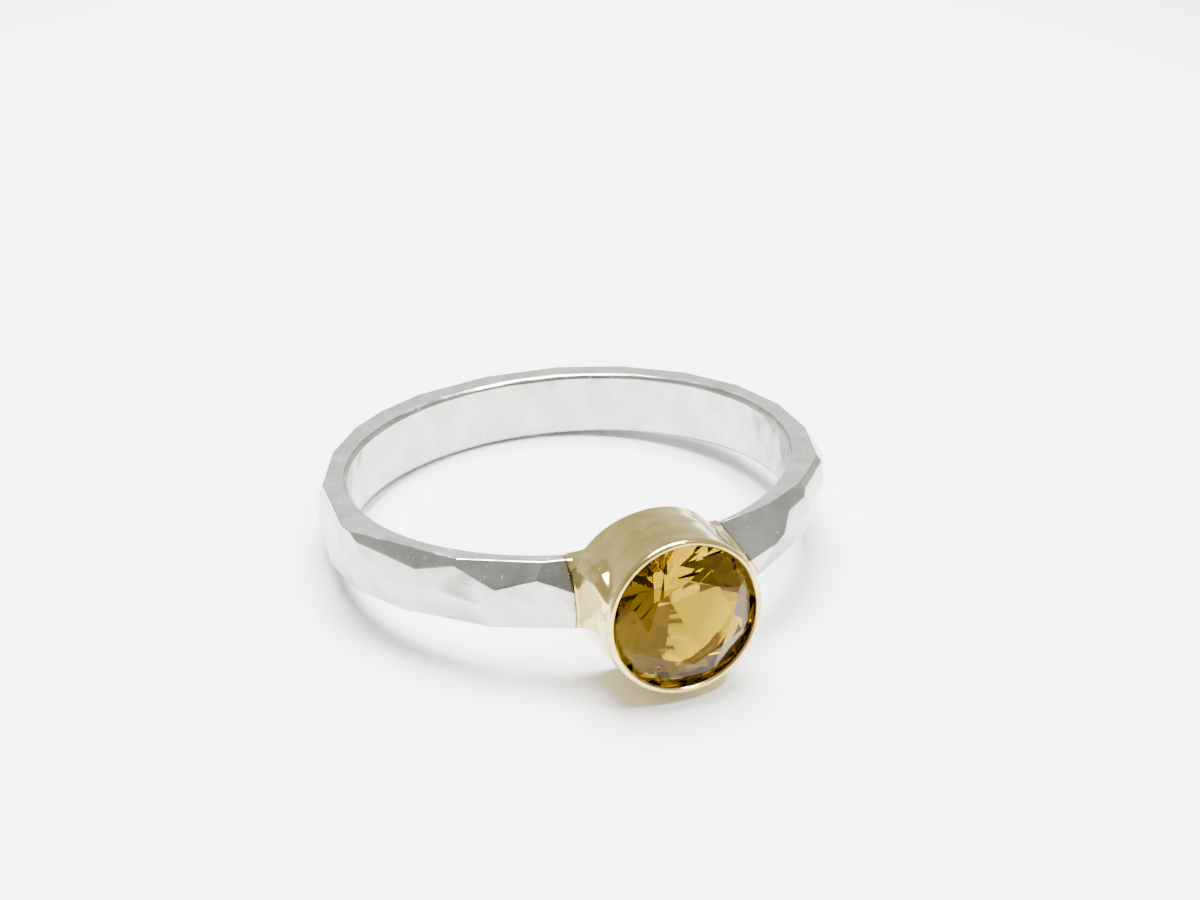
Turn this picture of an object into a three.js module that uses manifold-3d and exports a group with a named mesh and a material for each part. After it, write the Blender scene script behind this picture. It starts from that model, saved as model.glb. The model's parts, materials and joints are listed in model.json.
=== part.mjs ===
// A stacking ring: a hammered silver band, a gold bezel cup soldered between its ends,
// and a round citrine held under the cup's rim. Millimetres, +Z up, at rest on a table.
//
// The ring is first made about its own finger axis (Z), with the stone towards -Y, and then
// tipped the way it lies: on the far edge of the band and on the underside of the cup.
import * as THREE from "three";
import { mergeVertices } from "three/addons/utils/BufferGeometryUtils.js";
import Module from "manifold-3d";

const wasm = await Module();
wasm.setup();

// ---- Driving dimensions -------------------------------------------------------------

const FINGER_RADIUS = 8.65; // a 17.3 mm finger hole, US size 7
const BAND_WIDTH = 2.62; // along the finger
const BLANK_RADIUS = 10.25; // the band before it is hammered
const BORE_ALLOWANCE = 0.4; // left inside the blank, and taken away with the finger hole
const LIP_ROUND = 0.22; // rounding of the two edges that touch the finger
const ROUND_STEPS = 96; // sides of everything that is round

const CUP_DROP = 0.48; // the cup's axis lies this far below the middle of the band
const CUP_FRONT = 11.88; // finger axis to the rim
const CUP_RIM_RADIUS = 3.08;
const CUP_BASE_RADIUS = 3.12; // where the cup meets the finger hole
const CUP_BASE = 8.0; // the cup is made this deep and then trimmed by the finger hole

const STONE_RADIUS = 2.92; // a 6 mm citrine, nearly
const STONE_GAP = 0.05; // clearance between stone and metal
const GIRDLE_SETBACK = 0.32; // rim down to the upper edge of the girdle
const GIRDLE_THICKNESS = 0.14;
const TABLE_RADIUS = 1.68;
const CROWN_HEIGHT = 0.82;
const PAVILION_LEAN = 39.5; // degrees, main pavilion facets against the girdle
const RIM_OPENING = 2.8; // the rim is rubbed over the girdle to this radius
const SEAT_HOLE = 2.15; // open back of the cup
const RIM_ROUND = 0.1; // height over which the outside of the rim is rounded in
const RIM_INSET = 0.06; // how far it is rounded in, and the depth of the rim's own edge
const UPPER_HALF_STEEPER = 8; // degrees, facets between the crown mains and the girdle
const STAR_SHALLOWER = 13; // degrees, facets between the crown mains and the table
const LOWER_HALF_STEEPER = 1.6; // degrees, facets between the pavilion mains and the girdle

const FAR_REST = 9.45; // finger axis to the lower edge that the ring rests on, at the far side
const CUTTER = 16; // side of the block that takes away what is past a plane

// ---- Hammer flats -------------------------------------------------------------------
// Each row is one flat of the hammered band. around: degrees about the finger axis, 0 at the
// stone and 90 at +X. lean: degrees that the flat faces up or down. Radii are in millimetres.

// Flats along the upper edge; top is the radius at which they meet the band's upper side.
const UPPER_FLATS = [
  { around: 17, top: 8.96, lean: 29 },
  { around: 34, top: 9.37, lean: 45 },
  { around: 50, top: 9.62, lean: 42 },
  { around: 62, top: 9.76, lean: 55 },
  { around: 75, top: 9.57, lean: 40 },
  { around: 89, top: 9.48, lean: 33 },
  { around: 104, top: 9.44, lean: 40 },
  { around: 120, top: 9.46, lean: 30 },
  { around: 136, top: 9.48, lean: 38 },
  { around: 152, top: 9.55, lean: 28 },
  { around: 170, top: 9.58, lean: 42 },
  { around: 188, top: 9.62, lean: 32 },
  { around: 205, top: 9.7, lean: 44 },
  { around: 217, top: 9.68, lean: 30 },
  { around: 231, top: 9.56, lean: 36 },
  { around: 245, top: 9.49, lean: 22 },
  { around: 263, top: 9.55, lean: 17 },
  { around: 303, top: 9.37, lean: 40 },
  { around: 326, top: 9.3, lean: 36 },
  { around: 345, top: 9.2, lean: 30 },
];

// Flats on the outer face; belly is their radius at the middle of the band's width.
const FACE_FLATS = [
  { around: 22, belly: 9.86, lean: 12 },
  { around: 37, belly: 10.03, lean: 12 },
  { around: 51, belly: 10.12, lean: 15 },
  { around: 63, belly: 10.05, lean: 3 },
  { around: 79, belly: 9.94, lean: 7 },
  { around: 97, belly: 9.9, lean: 3 },
  { around: 115, belly: 9.86, lean: 6 },
  { around: 133, belly: 9.92, lean: -2 },
  { around: 151, belly: 9.88, lean: 5 },
  { around: 170, belly: 9.95, lean: 2 },
  { around: 190, belly: 9.9, lean: -3 },
  { around: 208, belly: 9.96, lean: 4 },
  { around: 226, belly: 9.9, lean: 6 },
  { around: 244, belly: 9.93, lean: 5 },
  { around: 263, belly: 9.74, lean: 4 },
  { around: 280, belly: 10.02, lean: 2 },
  { around: 299, belly: 9.98, lean: 12 },
  { around: 312, belly: 9.85, lean: 8 },
  { around: 334, belly: 9.82, lean: 4 },
];

// Flats along the lower edge; foot is the radius at which they meet the band's underside.
const LOWER_FLATS = [
  { around: 24, foot: 9.6, lean: -14 },
  { around: 40, foot: 9.22, lean: -27 },
  { around: 53, foot: 9.42, lean: -18 },
  { around: 67, foot: 9.68, lean: -13 },
  { around: 84, foot: 9.5, lean: -30 },
  { around: 102, foot: 9.45, lean: -24 },
  { around: 121, foot: 9.52, lean: -36 },
  { around: 141, foot: 9.4, lean: -28 },
  { around: 160, foot: 9.5, lean: -33 },
  { around: 180, foot: 9.45, lean: -25 },
  { around: 200, foot: 9.52, lean: -35 },
  { around: 219, foot: 9.46, lean: -26 },
  { around: 238, foot: 9.55, lean: -32 },
  { around: 256, foot: 9.58, lean: -20 },
  { around: 274, foot: 9.68, lean: -11 },
  { around: 291, foot: 9.62, lean: -12 },
  { around: 309, foot: 9.48, lean: -18 },
  { around: 329, foot: 9.6, lean: -12 },
];

// Solder collars that run from the band's ends forward along the sides of the cup. Each row is
// a section across the collar. reach: distance from the finger axis. out: how far the collar
// stands out sideways. top and bottom: its height above and below the middle of the band.
// bevel: how much its two outer corners are taken off.
const LEFT_COLLAR = [
  { reach: 8.1, out: 3.3, top: 1.26, bottom: -1.27, bevel: 0.3 },
  { reach: 8.7, out: 3.3, top: 1.32, bottom: -1.3, bevel: 0.45 },
  { reach: 9.0, out: 3.28, top: 1.38, bottom: -1.34, bevel: 0.5 },
  { reach: 9.4, out: 3.23, top: 1.45, bottom: -1.4, bevel: 0.42 },
  { reach: 9.9, out: 3.16, top: 1.48, bottom: -1.38, bevel: 0.36 },
  { reach: 10.7, out: 3.1, top: 1.4, bottom: -1.2, bevel: 0.32 },
  { reach: 11.3, out: 3.04, top: 1.12, bottom: -0.95, bevel: 0.28 },
  { reach: 11.65, out: 2.9, top: 0.8, bottom: -0.75, bevel: 0.24 },
];
const RIGHT_COLLAR = [
  { reach: 8.1, out: 3.3, top: 1.26, bottom: -1.27, bevel: 0.3 },
  { reach: 8.6, out: 3.32, top: 1.3, bottom: -1.3, bevel: 0.5 },
  { reach: 9.0, out: 3.3, top: 1.34, bottom: -1.34, bevel: 0.55 },
  { reach: 9.4, out: 3.22, top: 1.36, bottom: -1.32, bevel: 0.48 },
  { reach: 10.0, out: 3.13, top: 1.3, bottom: -1.2, bevel: 0.4 },
  { reach: 10.6, out: 3.04, top: 1.08, bottom: -0.9, bevel: 0.34 },
  { reach: 11.0, out: 2.9, top: 0.8, bottom: -0.7, bevel: 0.3 },
];

// ---- Solids -------------------------------------------------------------------------

const radians = THREE.MathUtils.degToRad;

function solid(geometry) {
  geometry.deleteAttribute("normal");
  geometry.deleteAttribute("uv");
  const merged = mergeVertices(geometry, 1e-5);
  return new wasm.Manifold(new wasm.Mesh({
    numProp: 3,
    vertProperties: new Float32Array(merged.attributes.position.array),
    triVerts: new Uint32Array(merged.index.array),
  }));
}

function geometryOf(manifold) {
  const mesh = manifold.getMesh();
  const geometry = new THREE.BufferGeometry();
  geometry.setAttribute("position", new THREE.BufferAttribute(new Float32Array(mesh.vertProperties), 3));
  geometry.setIndex(new THREE.BufferAttribute(new Uint32Array(mesh.triVerts), 1));
  geometry.computeVertexNormals();
  return geometry;
}

// A solid of revolution about Z from rows of [radius, height], lowest first on the outside.
function turned(profile) {
  const outline = profile.map(([radius, height]) => new THREE.Vector2(radius, height));
  const geometry = new THREE.LatheGeometry(outline, ROUND_STEPS);
  geometry.rotateX(Math.PI / 2);
  return solid(geometry);
}

// Takes away everything past a plane. The plane stands off the origin by reach, along a
// normal that points around the Z axis and leans up from the horizontal.
function cutFlat(body, around, lean, reach) {
  const cutter = new THREE.BoxGeometry(CUTTER, CUTTER, CUTTER);
  cutter.translate(0, -CUTTER / 2 - reach, 0);
  cutter.rotateX(-radians(lean));
  cutter.rotateZ(radians(around));
  return body.subtract(solid(cutter));
}

// Reach of a plane that leans by lean and passes radius at height.
function reachThrough(radius, height, lean) {
  return radius * Math.cos(radians(lean)) + height * Math.sin(radians(lean));
}

function plainBore() {
  const end = CUTTER / 2;
  return turned([[0, -end], [FINGER_RADIUS, -end], [FINGER_RADIUS, end], [0, end]]);
}

// The band's finger hole, with its two edges rounded outwards.
function roundedBore() {
  const half = BAND_WIDTH / 2;
  const profile = [[0, -half - 1], [FINGER_RADIUS + LIP_ROUND, -half - 1]];
  const steps = [0, 30, 60, 90];
  for (const turn of steps) {
    const inward = LIP_ROUND * (1 - Math.sin(radians(turn)));
    const up = LIP_ROUND * (1 - Math.cos(radians(turn)));
    profile.push([FINGER_RADIUS + inward, -half + up]);
  }
  for (const turn of [...steps].reverse()) {
    const inward = LIP_ROUND * (1 - Math.sin(radians(turn)));
    const up = LIP_ROUND * (1 - Math.cos(radians(turn)));
    profile.push([FINGER_RADIUS + inward, half - up]);
  }
  profile.push([FINGER_RADIUS + LIP_ROUND, half + 1], [0, half + 1]);
  return turned(profile);
}

function hammeredBand() {
  const half = BAND_WIDTH / 2;
  const inside = FINGER_RADIUS - BORE_ALLOWANCE;
  let band = turned([
    [inside, -half], [BLANK_RADIUS, -half], [BLANK_RADIUS, half], [inside, half], [inside, -half],
  ]);
  for (const { around, top, lean } of UPPER_FLATS) {
    band = cutFlat(band, around, lean, reachThrough(top, half, lean));
  }
  for (const { around, belly, lean } of FACE_FLATS) {
    band = cutFlat(band, around, lean, reachThrough(belly, 0, lean));
  }
  for (const { around, foot, lean } of LOWER_FLATS) {
    band = cutFlat(band, around, lean, reachThrough(foot, -half, lean));
  }
  return band.subtract(roundedBore());
}

// Turns a solid made about Z so that it stands on the cup's axis and points out at -Y.
function ontoCup(body) {
  return body.rotate([90, 0, 0]).translate([0, 0, -CUP_DROP]);
}

function cupOutside() {
  return ontoCup(turned([[0, CUP_BASE], [CUP_BASE_RADIUS, CUP_BASE],
    [CUP_RIM_RADIUS, CUP_FRONT - RIM_ROUND], [CUP_RIM_RADIUS - RIM_INSET, CUP_FRONT], [0, CUP_FRONT]]));
}

// Everything inside the cup: the rim's opening, the pocket for the stone, its seat, the open back.
function cupInside() {
  const girdleTop = CUP_FRONT - GIRDLE_SETBACK;
  const girdleFoot = girdleTop - GIRDLE_THICKNESS - STONE_GAP;
  const pocket = STONE_RADIUS + STONE_GAP;
  const seatDepth = (pocket - SEAT_HOLE) * Math.tan(radians(PAVILION_LEAN));
  return ontoCup(turned([[0, CUP_BASE - 1], [SEAT_HOLE, CUP_BASE - 1], [SEAT_HOLE, girdleFoot - seatDepth],
    [pocket, girdleFoot], [pocket, girdleTop + STONE_GAP], [RIM_OPENING, CUP_FRONT - RIM_INSET],
    [RIM_OPENING, CUP_FRONT + 1], [0, CUP_FRONT + 1]]));
}

// A collar from its rows: a many-sided section at each row, closed at both ends. Above and
// below, the section climbs onto the cup's wall, so that the corner between them is filled.
const COLLAR_ROOT = 1.2; // inner side of the collar, well inside the cup's wall
const COLLAR_CREST = { out: 1.95, climb: 0.42 };
const COLLAR_SHOULDER = { out: 2.35, climb: 0.12 };
const COLLAR_KEEL = { out: 2.5, drop: 0.3 };
function collar(rows, side) {
  const sections = rows.map(({ reach, out, top, bottom, bevel }) => {
    const corners = [
      [COLLAR_ROOT, top + COLLAR_CREST.climb],
      [COLLAR_CREST.out, top + COLLAR_CREST.climb],
      [COLLAR_SHOULDER.out, top + COLLAR_SHOULDER.climb],
      [out - bevel, top],
      [out, top - bevel],
      [out, bottom + bevel],
      [out - bevel, bottom],
      [COLLAR_KEEL.out, bottom - COLLAR_KEEL.drop],
      [COLLAR_ROOT, bottom - COLLAR_KEEL.drop],
    ];
    return corners.map(([x, z]) => [side * x, -reach, z]);
  });
  const count = sections[0].length;
  const positions = sections.flat(2);
  const index = [];
  for (let row = 0; row + 1 < sections.length; row += 1) {
    for (let corner = 0; corner < count; corner += 1) {
      const next = (corner + 1) % count;
      const [a, b] = [row * count + corner, row * count + next];
      index.push(a, b, b + count, a, b + count, a + count);
    }
  }
  const last = (sections.length - 1) * count;
  for (let corner = 1; corner + 1 < count; corner += 1) {
    index.push(0, corner + 1, corner, last, last + corner, last + corner + 1);
  }
  if (side > 0) {
    index.reverse();
  }
  const geometry = new THREE.BufferGeometry();
  geometry.setAttribute("position", new THREE.Float32BufferAttribute(positions, 3));
  geometry.setIndex(index);
  return solid(geometry);
}

function bandWithCup() {
  return hammeredBand()
    .add(cupOutside())
    .add(collar(LEFT_COLLAR, -1))
    .add(collar(RIGHT_COLLAR, 1))
    .subtract(cupInside())
    .subtract(plainBore());
}

// A round brilliant about Z, table up, with the middle of its girdle at height 0. Each row is
// one tier of facets, cut all round: count facets, the first of them at turn.
function brilliant() {
  const halfGirdle = GIRDLE_THICKNESS / 2;
  const table = halfGirdle + CROWN_HEIGHT;
  const mainLean = THREE.MathUtils.radToDeg(Math.atan2(CROWN_HEIGHT, STONE_RADIUS - TABLE_RADIUS));
  const eighth = 360 / 8;
  const sixteenth = 360 / 16;
  const scallop = Math.cos(radians(sixteenth / 2));
  const tableSide = TABLE_RADIUS * Math.cos(radians(eighth / 2));
  const girdleSide = STONE_RADIUS * scallop;
  const upperHalf = mainLean + UPPER_HALF_STEEPER;
  const star = mainLean - STAR_SHALLOWER;
  const lowerHalf = -PAVILION_LEAN - LOWER_HALF_STEEPER;
  const tiers = [
    { count: 8, turn: 0, slope: mainLean, radius: STONE_RADIUS, height: halfGirdle },
    { count: 16, turn: sixteenth / 2, slope: upperHalf, radius: girdleSide, height: halfGirdle },
    { count: 8, turn: eighth / 2, slope: star, radius: tableSide, height: table },
    { count: 8, turn: 0, slope: -PAVILION_LEAN, radius: STONE_RADIUS, height: -halfGirdle },
    { count: 16, turn: sixteenth / 2, slope: lowerHalf, radius: girdleSide, height: -halfGirdle },
  ];
  let stone = turned([[0, -CUTTER / 4], [STONE_RADIUS, -CUTTER / 4], [STONE_RADIUS, table], [0, table]]);
  for (const { count, turn, slope, radius, height } of tiers) {
    const lean = slope > 0 ? 90 - slope : -90 - slope;
    for (let facet = 0; facet < count; facet += 1) {
      const around = turn + (facet * 360) / count;
      stone = cutFlat(stone, around, lean, reachThrough(radius, height, lean));
    }
  }
  return ontoCup(stone.translate([0, 0, CUP_FRONT - GIRDLE_SETBACK - halfGirdle]));
}

// ---- Assembly -----------------------------------------------------------------------

const bandMesh = new THREE.Mesh(geometryOf(bandWithCup()),
  new THREE.MeshStandardMaterial({ color: 0xcfd0cd, roughness: 0.25, metalness: 1 }));
bandMesh.name = "band_with_bezel";

const stoneMesh = new THREE.Mesh(geometryOf(brilliant()),
  new THREE.MeshStandardMaterial({ color: 0xd08a12, roughness: 0.03, metalness: 0 }));
stoneMesh.name = "citrine";

// The ring lies on the far lower edge of the band and on the foot of the cup.
const farEdge = { back: FAR_REST, height: -BAND_WIDTH / 2 };
const cupFoot = { back: -FINGER_RADIUS, height: -CUP_DROP - CUP_BASE_RADIUS };
const REST_TILT = Math.atan2(farEdge.height - cupFoot.height, farEdge.back - cupFoot.back);

const ring = new THREE.Group();
ring.add(bandMesh, stoneMesh);
ring.rotation.x = -REST_TILT;
ring.updateMatrixWorld(true);

// The origin is on the table, below the middle of the ring as it lies.
const box = new THREE.Box3().setFromObject(ring, true);
const middle = box.getCenter(new THREE.Vector3());
ring.position.set(-middle.x, -middle.y, -box.min.z);

const group = new THREE.Group();
group.add(ring);

export default group;
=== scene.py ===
import json
from math import cos, radians, sin, tan, tau

import bpy
from mathutils import Matrix, Vector


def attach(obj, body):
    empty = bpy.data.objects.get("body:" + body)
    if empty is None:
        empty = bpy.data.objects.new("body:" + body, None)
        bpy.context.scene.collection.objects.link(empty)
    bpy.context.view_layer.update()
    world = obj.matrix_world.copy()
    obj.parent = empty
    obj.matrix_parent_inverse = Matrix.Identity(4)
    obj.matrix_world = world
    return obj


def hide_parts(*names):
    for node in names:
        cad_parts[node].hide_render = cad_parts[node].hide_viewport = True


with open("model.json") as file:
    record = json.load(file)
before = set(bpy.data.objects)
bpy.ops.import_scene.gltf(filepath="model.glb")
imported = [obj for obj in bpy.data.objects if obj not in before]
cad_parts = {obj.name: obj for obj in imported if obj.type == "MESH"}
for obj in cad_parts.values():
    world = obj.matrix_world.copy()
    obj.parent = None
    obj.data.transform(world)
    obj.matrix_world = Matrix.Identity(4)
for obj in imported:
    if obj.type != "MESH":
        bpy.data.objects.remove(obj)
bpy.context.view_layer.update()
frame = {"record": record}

# ---- Band ---------------------------------------------------------------------------------
# A flat-sided band of sterling silver, forged round a mandrel and hammered to large flats all
# over its outside. The finger hole is smooth, with rounded lips. The band is open at the stone,
# where its two ends are soldered to the collars of the cup.

MM = 0.001
FINGER_RADIUS = 8.65
BAND_WIDTH = 2.62
BLANK_RADIUS = 10.25
LIP_ROUND = 0.22
LIP_STEPS = 6
RIDGE_SOFTNESS = 0.05
RIDGE_STEPS = 3
SLIGHTEST_RIDGE = 3
ROUND_STEPS = 256
BORE_REACH = 20

# How near counts as the same place: points of a turned piece, points on a cutting plane, an edge
# at the band's side, an edge on the bore, and corners of hammer flats that run together.
WELD = 1e-4
ON_FLAT = 1e-5
AT_SIDE = 1e-3
ON_BORE = 0.02
RUN_TOGETHER = 0.08

# The seams with the cup: how far out each lies, how much the right one slants, how much of the
# band's end runs on inside the solder, the hair's gap left in the seam, and a block for cutting.
LEFT_SEAM = -3.35
RIGHT_SEAM = 3.69
SEAM_SLANT = 0.6
END_IN_SOLDER = 0.4
SEAM_GAP = 0.02
BLOCK_WIDTH = 12
BLOCK_DEPTH = 11
BLOCK_HEIGHT = 9

# How far the cup's axis lies below the middle of the band, and the stone's table from the finger.
CUP_DROP = 0.48
TABLE_REACH = 12.38

SILVER_DULL = (0.43, 0.43, 0.395, 1)
SILVER_CLEAR = (0.54, 0.54, 0.51, 1)
SILVER_PITS = (0.42, 0.41, 0.38, 1)
SOLDER_STAIN = (0.50, 0.45, 0.31, 1)
SEAM_DIRT = (0.16, 0.14, 0.11, 1)

# The hammer flats: how far round the finger from the stone each is, in degrees, how far from the
# finger axis it passes at the top edge, the middle or the bottom edge, and how it leans.
UPPER_FLATS = [
    {"around": 17, "top": 8.96, "lean": 29},
    {"around": 34, "top": 9.37, "lean": 45},
    {"around": 50, "top": 9.62, "lean": 42},
    {"around": 62, "top": 9.76, "lean": 55},
    {"around": 75, "top": 9.57, "lean": 40},
    {"around": 89, "top": 9.48, "lean": 33},
    {"around": 104, "top": 9.44, "lean": 40},
    {"around": 120, "top": 9.46, "lean": 30},
    {"around": 136, "top": 9.48, "lean": 38},
    {"around": 152, "top": 9.55, "lean": 28},
    {"around": 170, "top": 9.58, "lean": 42},
    {"around": 188, "top": 9.62, "lean": 32},
    {"around": 205, "top": 9.7, "lean": 44},
    {"around": 217, "top": 9.68, "lean": 30},
    {"around": 231, "top": 9.56, "lean": 36},
    {"around": 245, "top": 9.49, "lean": 22},
    {"around": 263, "top": 9.55, "lean": 17},
    {"around": 303, "top": 9.37, "lean": 40},
    {"around": 326, "top": 9.3, "lean": 36},
    {"around": 345, "top": 9.2, "lean": 30},
]
FACE_FLATS = [
    {"around": 22, "belly": 9.86, "lean": 12},
    {"around": 37, "belly": 10.03, "lean": 12},
    {"around": 51, "belly": 10.12, "lean": 15},
    {"around": 63, "belly": 10.05, "lean": 3},
    {"around": 79, "belly": 9.94, "lean": 7},
    {"around": 97, "belly": 9.9, "lean": 3},
    {"around": 115, "belly": 9.86, "lean": 6},
    {"around": 133, "belly": 9.92, "lean": -2},
    {"around": 151, "belly": 9.88, "lean": 5},
    {"around": 170, "belly": 9.95, "lean": 2},
    {"around": 190, "belly": 9.9, "lean": -3},
    {"around": 208, "belly": 9.96, "lean": 4},
    {"around": 226, "belly": 9.9, "lean": 6},
    {"around": 244, "belly": 9.93, "lean": 5},
    {"around": 263, "belly": 9.74, "lean": 4},
    {"around": 280, "belly": 10.02, "lean": 2},
    {"around": 299, "belly": 9.98, "lean": 12},
    {"around": 312, "belly": 9.85, "lean": 8},
    {"around": 334, "belly": 9.82, "lean": 4},
]
LOWER_FLATS = [
    {"around": 24, "foot": 9.6, "lean": -14},
    {"around": 40, "foot": 9.22, "lean": -27},
    {"around": 53, "foot": 9.42, "lean": -18},
    {"around": 67, "foot": 9.68, "lean": -13},
    {"around": 84, "foot": 9.5, "lean": -30},
    {"around": 102, "foot": 9.45, "lean": -24},
    {"around": 121, "foot": 9.52, "lean": -36},
    {"around": 141, "foot": 9.4, "lean": -28},
    {"around": 160, "foot": 9.5, "lean": -33},
    {"around": 180, "foot": 9.45, "lean": -25},
    {"around": 200, "foot": 9.52, "lean": -35},
    {"around": 219, "foot": 9.46, "lean": -26},
    {"around": 238, "foot": 9.55, "lean": -32},
    {"around": 256, "foot": 9.58, "lean": -20},
    {"around": 274, "foot": 9.68, "lean": -11},
    {"around": 291, "foot": 9.62, "lean": -12},
    {"around": 309, "foot": 9.48, "lean": -18},
    {"around": 329, "foot": 9.6, "lean": -12},
]

# The pieces are worked in millimetres about the finger axis, with the stone towards -Y, and
# then laid down on the table with the ring. The ring's mounts say how it lies.
mounts = {mount["name"]: mount for mount in frame["record"]["mounts"]}
finger_axis = Vector(mounts["stacking_side"]["axis"]).normalized()
to_stone = Vector(mounts["stone_table"]["axis"]).normalized()
table_middle = Vector(mounts["stone_table"]["pos_m"])
ring_middle = table_middle - to_stone * TABLE_REACH * MM + finger_axis * CUP_DROP * MM
across_ring = finger_axis.cross(to_stone)
lie = Matrix((across_ring, -to_stone, finger_axis)).transposed()
RING_FRAME = Matrix.Translation(ring_middle) @ lie.to_4x4() @ Matrix.Scale(MM, 4)


def pick(piece):
    """Leaves only this piece selected and active."""
    if bpy.context.object and bpy.context.object.mode == "EDIT":
        bpy.ops.object.mode_set(mode="OBJECT")
    bpy.ops.object.select_all(action="DESELECT")
    piece.select_set(True)
    bpy.context.view_layer.objects.active = piece


def open_up(piece):
    """Starts work on a piece's mesh, with all of it selected."""
    pick(piece)
    bpy.ops.object.mode_set(mode="EDIT")
    bpy.ops.mesh.select_all(action="SELECT")


def shut(piece):
    """Ends work on a piece's mesh."""
    pick(piece)
    return piece


def turned(name, outline, steps=ROUND_STEPS):
    """A closed outline of (radius, height) points, spun about the finger axis."""
    bpy.ops.object.select_all(action="DESELECT")
    bpy.ops.mesh.primitive_circle_add(vertices=len(outline), fill_type="NOTHING")
    piece = bpy.context.object
    piece.name = name
    for vertex, (radius, height) in zip(piece.data.vertices, outline):
        vertex.co = (radius, 0, height)
    open_up(piece)
    bpy.ops.mesh.spin(steps=steps, angle=tau, center=(0, 0, 0), axis=(0, 0, 1))
    bpy.ops.mesh.select_all(action="SELECT")
    bpy.ops.mesh.remove_doubles(threshold=WELD)
    bpy.ops.mesh.delete_loose()
    bpy.ops.mesh.select_all(action="SELECT")
    bpy.ops.mesh.normals_make_consistent(inside=False)
    return shut(piece)


def direction(around, lean):
    """The way a flat faces: around the finger from the stone, and leaning up."""
    a, up = radians(around), radians(lean)
    return Vector((sin(a) * cos(up), -cos(a) * cos(up), sin(up)))


def hammer(around, radius, height, lean):
    """One blow: takes away everything past a flat. The piece is open and all selected."""
    a = radians(around)
    on_flat = Vector((sin(a) * radius, -cos(a) * radius, height))
    bpy.ops.mesh.select_all(action="SELECT")
    bpy.ops.mesh.bisect(plane_co=on_flat, plane_no=direction(around, lean), use_fill=True,
                        clear_outer=True, threshold=ON_FLAT)


def combine(piece, other, operation, keep=False):
    """Joins another solid to a piece, or cuts it with it."""
    pick(piece)
    cut = piece.modifiers.new(operation.lower(), "BOOLEAN")
    cut.operation = operation
    cut.solver = "EXACT"
    cut.object = other
    bpy.ops.object.modifier_apply(modifier=cut.name)
    if not keep:
        bpy.data.objects.remove(other)
    return piece


def copy_of(piece, name):
    """A second piece of the same shape, with a mesh of its own."""
    twin = piece.copy()
    twin.data = piece.data.copy()
    twin.name = name
    bpy.context.scene.collection.objects.link(twin)
    return twin


def trim_block(left, right):
    """A block round the cup: flat on the left, and slanting on the right as the seam there does."""
    bpy.ops.object.select_all(action="DESELECT")
    bpy.ops.mesh.primitive_cube_add(size=1, location=(left + BLOCK_WIDTH / 2, -BLOCK_DEPTH, 0),
                                    scale=(BLOCK_WIDTH, BLOCK_DEPTH, BLOCK_HEIGHT))
    block = bpy.context.object
    block.name = "trim_block"
    bpy.ops.object.transform_apply(location=True, rotation=True, scale=True)
    open_up(block)
    bpy.ops.mesh.bisect(plane_co=(right, 0, 0), plane_no=(1, 0, SEAM_SLANT), use_fill=True,
                        clear_outer=True, threshold=ON_FLAT)
    return shut(block)


def lay_down(piece):
    """Takes a finished piece from the bench to its place in the resting ring."""
    pick(piece)
    piece.matrix_world = RING_FRAME
    bpy.ops.object.transform_apply(location=True, rotation=True, scale=True)


half = BAND_WIDTH / 2
bpy.ops.object.select_all(action="DESELECT")
bpy.ops.mesh.primitive_cylinder_add(vertices=ROUND_STEPS, radius=BLANK_RADIUS, depth=BAND_WIDTH)
blank = bpy.context.object
blank.name = "blank"
open_up(blank)
for flat in UPPER_FLATS:
    hammer(flat["around"], flat["top"], half, flat["lean"])
for flat in FACE_FLATS:
    hammer(flat["around"], flat["belly"], 0, flat["lean"])
for flat in LOWER_FLATS:
    hammer(flat["around"], flat["foot"], -half, flat["lean"])
bpy.ops.mesh.select_all(action="SELECT")
bpy.ops.mesh.remove_doubles(threshold=RUN_TOGETHER)
bpy.ops.mesh.select_all(action="SELECT")
bpy.ops.mesh.normals_make_consistent(inside=False)
shut(blank)
soften = blank.modifiers.new("soften", "BEVEL")
soften.width = RIDGE_SOFTNESS
soften.segments = RIDGE_STEPS
soften.limit_method = "ANGLE"
soften.angle_limit = radians(SLIGHTEST_RIDGE)
soften.use_clamp_overlap = False
bpy.ops.object.modifier_apply(modifier=soften.name)

bore = turned("bore", [(0, -BORE_REACH), (FINGER_RADIUS, -BORE_REACH),
                       (FINGER_RADIUS, BORE_REACH), (0, BORE_REACH)])
whole_band = combine(blank, bore, "DIFFERENCE", keep=True)
open_up(whole_band)
bpy.ops.mesh.select_mode(type="EDGE")
bpy.ops.mesh.select_all(action="DESELECT")
bpy.ops.object.mode_set(mode="OBJECT")
for edge in whole_band.data.edges:
    first, second = [whole_band.data.vertices[i].co for i in edge.vertices]
    level = abs(abs(first.z + second.z) / 2 - half) < AT_SIDE
    on_bore = max(first.xy.length, second.xy.length) < FINGER_RADIUS + ON_BORE
    edge.select = level and on_bore
bpy.ops.object.mode_set(mode="EDIT")
bpy.ops.mesh.bevel(offset=LIP_ROUND, segments=LIP_STEPS, affect="EDGES")
bpy.ops.mesh.select_mode(type="VERT")
shut(whole_band)

solder_block = trim_block(LEFT_SEAM - END_IN_SOLDER, RIGHT_SEAM + END_IN_SOLDER)
band_ends = combine(copy_of(whole_band, "band_ends"), solder_block, "INTERSECT")
band = combine(whole_band, trim_block(LEFT_SEAM, RIGHT_SEAM), "DIFFERENCE")
band.name = "hammered_band"


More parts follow.
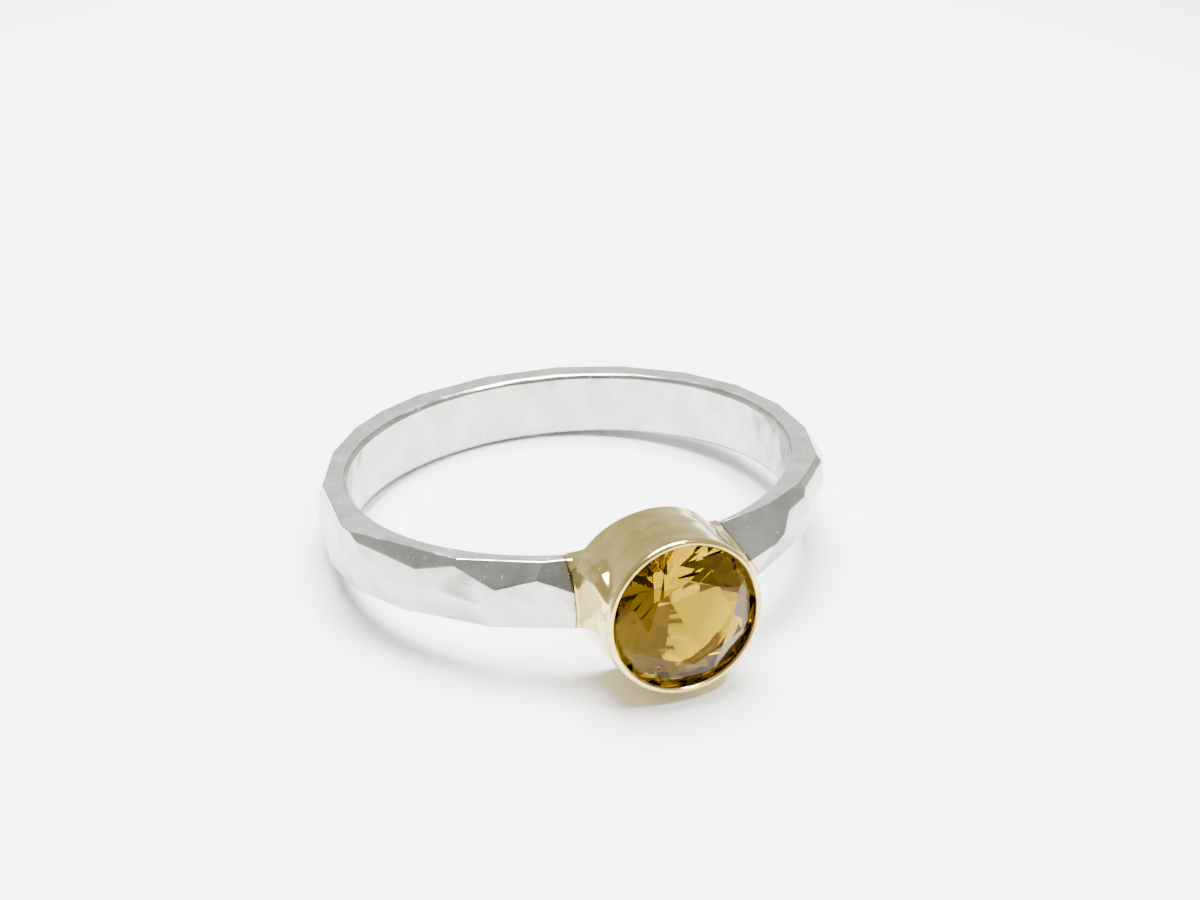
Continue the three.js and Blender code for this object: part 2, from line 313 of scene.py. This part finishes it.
def even_light(piece, sharp=40):
    """Smooth over soft ridges, while big flats keep their own flat shading."""
    pick(piece)
    bpy.ops.object.shade_smooth_by_angle(angle=radians(sharp))
    weigh = piece.modifiers.new("weigh", "WEIGHTED_NORMAL")
    weigh.mode = "FACE_AREA"
    weigh.weight = 90
    weigh.keep_sharp = True
    bpy.ops.object.modifier_apply(modifier=weigh.name)


class Reading:
    """A number that changes over a surface. Sums on readings add the nodes that work them out."""

    def __init__(self, finish, socket):
        self.finish = finish
        self.socket = socket

    def __add__(self, other):
        return self.finish.work("ADD", self, other)

    def __radd__(self, other):
        return self.finish.work("ADD", other, self)

    def __sub__(self, other):
        return self.finish.work("SUBTRACT", self, other)

    def __rsub__(self, other):
        return self.finish.work("SUBTRACT", other, self)

    def __mul__(self, other):
        return self.finish.work("MULTIPLY", self, other)


class Finish:
    """One surface finish: its tree of nodes, its shader, and the readings that feed it."""

    def __init__(self, owner, shader="Principled BSDF", **constants):
        self.owner = owner
        self.owner.use_nodes = True
        self.tree = owner.node_tree
        self.shader = self.tree.nodes[shader]
        for socket, value in constants.items():
            self.shader.inputs[socket.replace("_", " ")].default_value = value

    def node(self, kind, settings, sockets, output=0):
        made = self.tree.nodes.new(kind)
        stops = settings.get("stops", [])
        for setting, value in settings.items():
            if setting != "stops":
                setattr(made, setting, value)
        for index, (place, shade) in enumerate(stops):
            ramp = made.color_ramp.elements
            stop = ramp[index] if index < 2 else ramp.new(place)
            stop.position = place
            stop.color = (shade, shade, shade, 1)
        for socket, value in sockets.items():
            self.feed(made.inputs[socket], value)
        return Reading(self, made.outputs[output])

    def feed(self, socket, value):
        if isinstance(value, Reading):
            self.tree.links.new(value.socket, socket)
        else:
            socket.default_value = value

    def work(self, operation, first, second=0):
        """One sum on a reading, or on two."""
        return self.node("ShaderNodeMath", {"operation": operation}, {0: first, 1: second})

    def between(self, reading, low, high):
        """0 where the reading is under low, 1 where it is over high."""
        return self.node("ShaderNodeMapRange", {"interpolation_type": "SMOOTHSTEP"},
                         {"Value": reading, "From Min": low, "From Max": high})

    def place(self):
        """The place on the piece, in millimetres."""
        here = self.node("ShaderNodeTexCoord", {}, {}, "Object")
        return self.node("ShaderNodeVectorMath", {"operation": "SCALE"}, {0: here, "Scale": 1 / MM})

    def noise(self, where, scale, detail=2, roughness=0.5):
        return self.node("ShaderNodeTexNoise", {},
                         {"Vector": where, "Scale": scale, "Detail": detail, "Roughness": roughness})

    def stretched(self, where, turn, scale):
        return self.node("ShaderNodeMapping", {}, {"Vector": where, "Rotation": turn, "Scale": scale})

    def mix(self, share, first, second):
        return self.node("ShaderNodeMix", {"data_type": "RGBA"},
                         {"Factor": share, "A": first, "B": second}, "Result")

    def along(self, arrow, way):
        """How far an arrow goes along a way."""
        return self.node("ShaderNodeVectorMath", {"operation": "DOT_PRODUCT"},
                         {0: arrow, 1: way}, "Value")

    def away(self, where, start):
        """The arrow from a starting point to a place."""
        return self.node("ShaderNodeVectorMath", {"operation": "SUBTRACT"}, {0: where, 1: start})

    def facing(self, way):
        """How much the surface faces a way, as a number from -1 to 1."""
        return self.along(self.node("ShaderNodeTexCoord", {}, {}, "Normal"), way)

    def bump(self, height, strength, distance):
        return self.node("ShaderNodeBump", {},
                         {"Height": height, "Strength": strength, "Distance": distance})

    def paint(self, piece, **fed):
        for socket, value in fed.items():
            self.feed(self.shader.inputs[socket.replace("_", " ")], value)
        piece.data.materials.clear()
        piece.data.materials.append(self.owner)


def solder_line(finish, where, width):
    """1 on the two seams beside the cup, fading out over a width."""
    from_middle = finish.away(where, ring_middle / MM)
    left = finish.along(from_middle, -across_ring) + LEFT_SEAM
    right = finish.along(from_middle, across_ring + finger_axis * SEAM_SLANT) - RIGHT_SEAM
    nearest = finish.work("MINIMUM", finish.work("ABSOLUTE", left), finish.work("ABSOLUTE", right))
    towards_stone = finish.along(from_middle, to_stone)
    near_stone = finish.between(towards_stone, FINGER_RADIUS * 0.6, FINGER_RADIUS * 0.7)
    return near_stone * (1 - finish.between(nearest, width * 0.2, width))


def silver():
    """Polished sterling silver, satin on its flat sides, and stained where gold solder ran on it."""
    finish = Finish(bpy.data.materials.new("sterling_silver"), Metallic=1.0)
    where = finish.place()
    wobble = finish.noise(where, scale=0.55, detail=1)
    drag = finish.stretched(where, turn=(0, 0, 0.6), scale=(1.2, 9, 3))
    rubbing = finish.noise(drag, scale=2.2, detail=4, roughness=0.6)
    fine = finish.noise(where, scale=14, detail=3, roughness=0.6)
    pits = finish.between(finish.noise(where, scale=5.5, detail=1), 0.70, 0.76)
    flat_side = finish.between(finish.facing(finger_axis), 0.93, 0.985)
    clouds = finish.noise(where, scale=0.9, detail=3)
    tone = finish.mix(finish.between(clouds, 0.35, 0.7), SILVER_DULL, SILVER_CLEAR)
    tone = finish.mix(pits * 0.5, tone, SILVER_PITS)
    tone = finish.mix(solder_line(finish, where, width=0.42) * (0.4 + rubbing * 0.8), tone, SOLDER_STAIN)
    tone = finish.mix(solder_line(finish, where, width=0.07) * 0.7, tone, SEAM_DIRT)
    rough = 0.12 + rubbing * 0.14 + flat_side * 0.18 + pits * 0.2
    height = wobble * 2.6 + fine * 0.008 + rubbing * 0.012 - pits * 0.05
    return finish, tone, rough, finish.bump(height, strength=0.5, distance=0.12 * MM)


even_light(band)
lay_down(band)
silver_finish, silver_tone, silver_rough, silver_bump = silver()
silver_finish.paint(band, Base_Color=silver_tone, Roughness=silver_rough, Normal=silver_bump)
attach(band, "root")
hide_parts("band_with_bezel")

# ---- Bezel cup and collars ----------------------------------------------------------------
# A short round cup of pale yellow gold, open at the back, with its rim rubbed over the stone.
# Solder and gold collars run from the band's two ends forward along the cup's sides, and the
# whole is filed and polished as one.

CUP_FRONT = 11.88
CUP_RIM_RADIUS = 3.08
CUP_BASE_RADIUS = 3.12
CUP_BASE = 8.0
STONE_RADIUS = 2.92
STONE_GAP = 0.05
GIRDLE_SETBACK = 0.32
GIRDLE_THICKNESS = 0.14
PAVILION_LEAN = 39.5
RIM_OPENING = 2.8
RIM_ROUND = 0.1
RIM_INSET = 0.06
SEAT_HOLE = 2.15
GRAIN = 0.06
POLISH_STROKES = 8
POLISH_LOSS = 0.02
SPARE = 0.5

GOLD_DEEP = (0.60, 0.47, 0.14, 1)
GOLD_PALE = (0.74, 0.60, 0.21, 1)
GOLD_PITS = (0.30, 0.19, 0.06, 1)
GOLD_SEAM = (0.34, 0.23, 0.08, 1)

# The rim's edge, rolled over the stone: how far out from the opening, and how far past the front.
RIM_ROLL = [
    {"out": 0, "past": -0.08},
    {"out": 0.02, "past": -0.03},
    {"out": 0.08, "past": 0.01},
    {"out": 0.2, "past": 1},
]

# The part of a collar that runs inside the cup's wall is a little taller than the part outside.
COLLAR_SIDES = 9
COLLAR_ROOT = 1.2
COLLAR_CREST = 1.95
COLLAR_SHOULDER = 2.35
COLLAR_KEEL = 2.5
CREST_CLIMB = 0.42
SHOULDER_CLIMB = 0.12
KEEL_DROP = 0.3

# Each collar from the finger outwards: how far from the finger axis a row is, how far out to the
# side, its top and bottom, and how much its outer edges are filed off.
LEFT_COLLAR = [
    {"reach": 7.8, "out": 3.5, "top": 1.26, "bottom": -1.27, "bevel": 0.3},
    {"reach": 8.7, "out": 3.5, "top": 1.32, "bottom": -1.3, "bevel": 0.45},
    {"reach": 9.0, "out": 3.38, "top": 1.38, "bottom": -1.34, "bevel": 0.5},
    {"reach": 9.4, "out": 3.26, "top": 1.45, "bottom": -1.4, "bevel": 0.42},
    {"reach": 9.9, "out": 3.18, "top": 1.48, "bottom": -1.38, "bevel": 0.36},
    {"reach": 10.7, "out": 3.1, "top": 1.4, "bottom": -1.2, "bevel": 0.32},
    {"reach": 11.3, "out": 3.04, "top": 1.12, "bottom": -0.95, "bevel": 0.28},
    {"reach": 11.65, "out": 2.9, "top": 0.8, "bottom": -0.75, "bevel": 0.24},
]
RIGHT_COLLAR = [
    {"reach": 7.8, "out": 3.5, "top": 1.26, "bottom": -1.27, "bevel": 0.3},
    {"reach": 8.6, "out": 3.42, "top": 1.3, "bottom": -1.3, "bevel": 0.5},
    {"reach": 9.0, "out": 3.34, "top": 1.34, "bottom": -1.34, "bevel": 0.55},
    {"reach": 9.4, "out": 3.22, "top": 1.36, "bottom": -1.32, "bevel": 0.48},
    {"reach": 10.0, "out": 3.13, "top": 1.3, "bottom": -1.2, "bevel": 0.4},
    {"reach": 10.6, "out": 3.04, "top": 1.08, "bottom": -0.9, "bevel": 0.34},
    {"reach": 11.0, "out": 2.9, "top": 0.8, "bottom": -0.7, "bevel": 0.3},
]


def onto_cup(piece):
    """Turns a piece made about the upright so that it stands on the cup's axis, pointing out."""
    pick(piece)
    piece.rotation_euler = (radians(90), 0, 0)
    piece.location = (0, 0, -CUP_DROP)
    bpy.ops.object.transform_apply(location=True, rotation=True, scale=True)
    return piece


def collar(name, rows, side):
    """A bar of nine-sided section, bridged from row to row along the side of the cup."""
    bpy.ops.object.select_all(action="DESELECT")
    bpy.ops.mesh.primitive_circle_add(vertices=COLLAR_SIDES, fill_type="NOTHING")
    bar = bpy.context.object
    bar.name = name
    open_up(bar)
    for row in rows[1:]:
        bpy.ops.mesh.primitive_circle_add(vertices=COLLAR_SIDES, fill_type="NOTHING")
    bpy.ops.object.mode_set(mode="OBJECT")
    vertices = iter(bar.data.vertices)
    for row in rows:
        top, bottom, out, bevel = row["top"], row["bottom"], row["out"], row["bevel"]
        section = [
            (COLLAR_ROOT, top + CREST_CLIMB),
            (COLLAR_CREST, top + CREST_CLIMB),
            (COLLAR_SHOULDER, top + SHOULDER_CLIMB),
            (out - bevel, top),
            (out, top - bevel),
            (out, bottom + bevel),
            (out - bevel, bottom),
            (COLLAR_KEEL, bottom - KEEL_DROP),
            (COLLAR_ROOT, bottom - KEEL_DROP),
        ]
        for x, z in section:
            next(vertices).co = (side * x, -row["reach"], z)
    open_up(bar)
    bpy.ops.mesh.bridge_edge_loops()
    bpy.ops.mesh.select_all(action="SELECT")
    bpy.ops.mesh.fill_holes(sides=0)
    bpy.ops.mesh.select_all(action="SELECT")
    bpy.ops.mesh.normals_make_consistent(inside=False)
    return shut(bar)


cup = onto_cup(turned("bezel_cup", [
    (0, CUP_BASE - SPARE),
    (CUP_BASE_RADIUS, CUP_BASE - SPARE),
    (CUP_RIM_RADIUS, CUP_FRONT - RIM_ROUND),
    (CUP_RIM_RADIUS - RIM_INSET, CUP_FRONT + POLISH_LOSS),
    (0, CUP_FRONT + POLISH_LOSS),
]))
cup = combine(cup, collar("left_collar", LEFT_COLLAR, -1), "UNION")
cup = combine(cup, collar("right_collar", RIGHT_COLLAR, 1), "UNION")
cup = combine(cup, band_ends, "UNION")
pick(cup)
flow = cup.modifiers.new("flow", "REMESH")
flow.mode = "VOXEL"
flow.voxel_size = GRAIN
bpy.ops.object.modifier_apply(modifier=flow.name)
polish = cup.modifiers.new("polish", "SMOOTH")
polish.factor = 0.5
polish.iterations = POLISH_STROKES
bpy.ops.object.modifier_apply(modifier=polish.name)

girdle_top = CUP_FRONT - GIRDLE_SETBACK
girdle_foot = girdle_top - GIRDLE_THICKNESS - STONE_GAP
pocket = STONE_RADIUS + STONE_GAP
seat_depth = (pocket - SEAT_HOLE) * tan(radians(PAVILION_LEAN))
below_cup = CUP_BASE - 2 * SPARE
rim_edge = [(RIM_OPENING + step["out"], CUP_FRONT + step["past"]) for step in RIM_ROLL]
inside = onto_cup(turned("inside", [
    (0, below_cup),
    (SEAT_HOLE, below_cup),
    (SEAT_HOLE, girdle_foot - seat_depth),
    (pocket, girdle_foot),
    (pocket, girdle_top + STONE_GAP),
    *rim_edge,
    (0, rim_edge[-1][1]),
]))
cup = combine(cup, trim_block(LEFT_SEAM + SEAM_GAP, RIGHT_SEAM - SEAM_GAP), "INTERSECT")
cup = combine(cup, inside, "DIFFERENCE")
cup = combine(cup, bore, "DIFFERENCE")
even_light(cup, 50)
lay_down(cup)


def gold():
    """Polished pale yellow gold, with the faint drag of the polishing and a darker seam."""
    finish = Finish(bpy.data.materials.new("yellow_gold"), Metallic=1.0)
    where = finish.place()
    wobble = finish.noise(where, scale=0.8, detail=1)
    drag = finish.stretched(where, turn=(0.3, 0, 0.4), scale=(1.5, 1.5, 10))
    rubbing = finish.noise(drag, scale=2.0, detail=4, roughness=0.6)
    fine = finish.noise(where, scale=16, detail=3, roughness=0.6)
    pits = finish.between(finish.noise(where, scale=6.5, detail=1), 0.71, 0.77)
    clouds = finish.noise(where, scale=1.1, detail=3)
    tone = finish.mix(finish.between(clouds, 0.3, 0.7), GOLD_DEEP, GOLD_PALE)
    tone = finish.mix(pits * 0.6, tone, GOLD_PITS)
    tone = finish.mix(solder_line(finish, where, width=0.12) * 0.6, tone, GOLD_SEAM)
    rough = 0.10 + rubbing * 0.10 + pits * 0.2
    height = wobble * 1.2 + fine * 0.008 + rubbing * 0.012 - pits * 0.05
    return finish, tone, rough, finish.bump(height, strength=0.5, distance=0.1 * MM)


gold_finish, gold_tone, gold_rough, gold_bump = gold()
gold_finish.paint(cup, Base_Color=gold_tone, Roughness=gold_rough, Normal=gold_bump)
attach(cup, "root")
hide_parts("band_with_bezel")

# ---- Stone --------------------------------------------------------------------------------
# A round brilliant-cut citrine of nearly 6 mm: an eight-sided table, crown and pavilion facets
# ground in tiers, and a thin girdle that the rim of the cup holds down.

TABLE_RADIUS = 1.68
CROWN_HEIGHT = 0.82
CROWN_SLOPE = 33.5
UPPER_HALF_STEEPER = 8
STAR_SHALLOWER = 13
LOWER_HALF_STEEPER = 1.6
ROUGH_DEPTH = 4
EIGHTH = 360 / 8

CROWN_DEEP = (0.24, 0.135, 0.001, 1)
CROWN_CLEAR = (0.36, 0.225, 0.003, 1)
PAVILION_TONE = (0.09, 0.07, 0.001, 1)
SHEEN_TONE = (0.45, 0.26, 0.06, 1)


def grind(count, turn, slope, radius, height):
    """One tier of facets, ground all round. Slope is against the girdle, below zero underneath."""
    lean = 90 - slope if slope > 0 else -90 - slope
    for facet in range(count):
        hammer(turn + facet * 360 / count, radius, height, lean)


half_girdle = GIRDLE_THICKNESS / 2
table = half_girdle + CROWN_HEIGHT
scallop = STONE_RADIUS * cos(radians(EIGHTH / 4))
table_side = TABLE_RADIUS * cos(radians(EIGHTH / 2))
stone = turned("citrine_stone", [(0, -ROUGH_DEPTH), (STONE_RADIUS, -ROUGH_DEPTH),
                                 (STONE_RADIUS, table), (0, table)])
open_up(stone)
grind(8, 0, CROWN_SLOPE, STONE_RADIUS, half_girdle)
grind(16, EIGHTH / 4, CROWN_SLOPE + UPPER_HALF_STEEPER, scallop, half_girdle)
grind(8, EIGHTH / 2, CROWN_SLOPE - STAR_SHALLOWER, table_side, table)
grind(8, 0, -PAVILION_LEAN, STONE_RADIUS, -half_girdle)
grind(16, EIGHTH / 4, -PAVILION_LEAN - LOWER_HALF_STEEPER, scallop, -half_girdle)
shut(stone)
stone.location = (0, 0, girdle_top - half_girdle)
bpy.ops.object.transform_apply(location=True, rotation=True, scale=True)
onto_cup(stone)
bpy.ops.object.shade_flat()
lay_down(stone)


def citrine():
    """Clear amber quartz, a little uneven in colour, and deeper where it is seen through the back."""
    finish = Finish(bpy.data.materials.new("citrine_quartz"), IOR=1.55, Transmission_Weight=1.0,
                    Roughness=0.0, Specular_Tint=SHEEN_TONE)
    where = finish.place()
    zones = finish.noise(where, scale=0.5, detail=2)
    crown = finish.mix(finish.between(zones, 0.35, 0.65), CROWN_DEEP, CROWN_CLEAR)
    above_girdle = finish.along(finish.away(where, table_middle / MM), to_stone) + CROWN_HEIGHT
    return finish, finish.mix(finish.between(above_girdle, -1.6, -0.1), PAVILION_TONE, crown)


stone_finish, stone_tone = citrine()
stone_finish.paint(stone, Base_Color=stone_tone)
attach(stone, "root")
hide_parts("citrine")

# ---- Table, light and camera --------------------------------------------------------------
# The ring lies on a white table in a light tent. The tent is soft white all round, a little dimmer and
# warmer in front, where the camera looks in, and the table's colour greys off away from the ring as
# painted shade. One wide lamp hangs overhead, and one narrow bright lamp puts the sharp glints on the
# gold.

TABLE_SIZE = 3
PALE_MIDDLE = Vector((0, 14, 0))
PALE_RADIUS = 38
PAINTED_SHADE_RADIUS = 75
TABLE_PALE = (0.94, 0.94, 0.94, 1)
TABLE_PAINTED_SHADE = (0.46, 0.45, 0.42, 1)
TENT_SHADES = [(0.0, 1.0), (0.3, 0.75), (0.62, 0.50), (1.0, 0.6)]
TENT_FRONT = (0.30, 0.25, 0.14, 1)
TENT_DOOR = (0.08, 0.07, 0.05, 1)
CAMERA_PLACE = Vector((-42.23, -111.38, 74.21)) * MM
CAMERA_AIM = Vector((1.37, 1.50, 3.80)) * MM
CAMERA_ROLL = -1.13
LENS = 106.6
FILM_WIDTH = 36

bpy.ops.object.select_all(action="DESELECT")
bpy.ops.mesh.primitive_plane_add(size=TABLE_SIZE)
floor = bpy.context.object
floor.name = "table_top"
cloth = Finish(bpy.data.materials.new("white_table"), Roughness=0.6)
off_middle = cloth.away(cloth.place(), PALE_MIDDLE)
spread = cloth.node("ShaderNodeVectorMath", {"operation": "LENGTH"}, {0: off_middle}, "Value")
# Painted shade: the table's white is mixed towards grey further from a middle point behind the ring, a
# fall-off of light painted into its colour.
painted_dimming = cloth.between(spread, PALE_RADIUS, PAINTED_SHADE_RADIUS)
cloth.paint(floor, Base_Color=cloth.mix(painted_dimming, TABLE_PALE, TABLE_PAINTED_SHADE))

tent = Finish(bpy.data.worlds.new("light_tent"), "Background", Strength=1.3)
bpy.context.scene.world = tent.owner
way = tent.node("ShaderNodeTexCoord", {}, {}, "Generated")
height = tent.node("ShaderNodeSeparateXYZ", {}, {"Vector": way}, "Z")
walls = tent.node("ShaderNodeValToRGB", {"stops": TENT_SHADES}, {"Fac": height})
front = tent.between(tent.along(way, Vector((0, -1, 0))), 0.1, 0.8)
low = 1 - tent.between(height, 0.08, 0.42)
door = tent.between(tent.along(way, (CAMERA_PLACE - CAMERA_AIM).normalized()), 0.80, 0.95)
walls = tent.mix(front * low * 0.85, walls, TENT_FRONT)
tent.feed(tent.shader.inputs["Color"], tent.mix(door * 0.45, walls, TENT_DOOR))


def soft_box(name, place, size, power):
    """A flat lamp that faces the middle of the ring."""
    lamp = bpy.data.lights.new(name, "AREA")
    lamp.shape = "RECTANGLE"
    lamp.size, lamp.size_y = size
    lamp.energy = power
    holder = bpy.data.objects.new(name, lamp)
    bpy.context.scene.collection.objects.link(holder)
    holder.location = place
    holder.rotation_euler = (-Vector(place)).to_track_quat("-Z", "Y").to_euler()


soft_box("overhead", place=(0.02, 0.06, 0.3), size=(0.2, 0.2), power=6)
soft_box("strip", place=(0.124, -0.15, 0.35), size=(0.10, 0.010), power=1.8)

camera = bpy.data.cameras.new("camera")
camera.lens = LENS
camera.sensor_width = FILM_WIDTH
camera.clip_start = 0.01
viewpoint = bpy.data.objects.new("camera", camera)
bpy.context.scene.collection.objects.link(viewpoint)
look = (CAMERA_AIM - CAMERA_PLACE).to_track_quat("-Z", "Y").to_matrix()
rolled = look @ Matrix.Rotation(radians(CAMERA_ROLL), 3, "Z")
viewpoint.matrix_world = Matrix.Translation(CAMERA_PLACE) @ rolled.to_4x4()
bpy.context.scene.camera = viewpoint
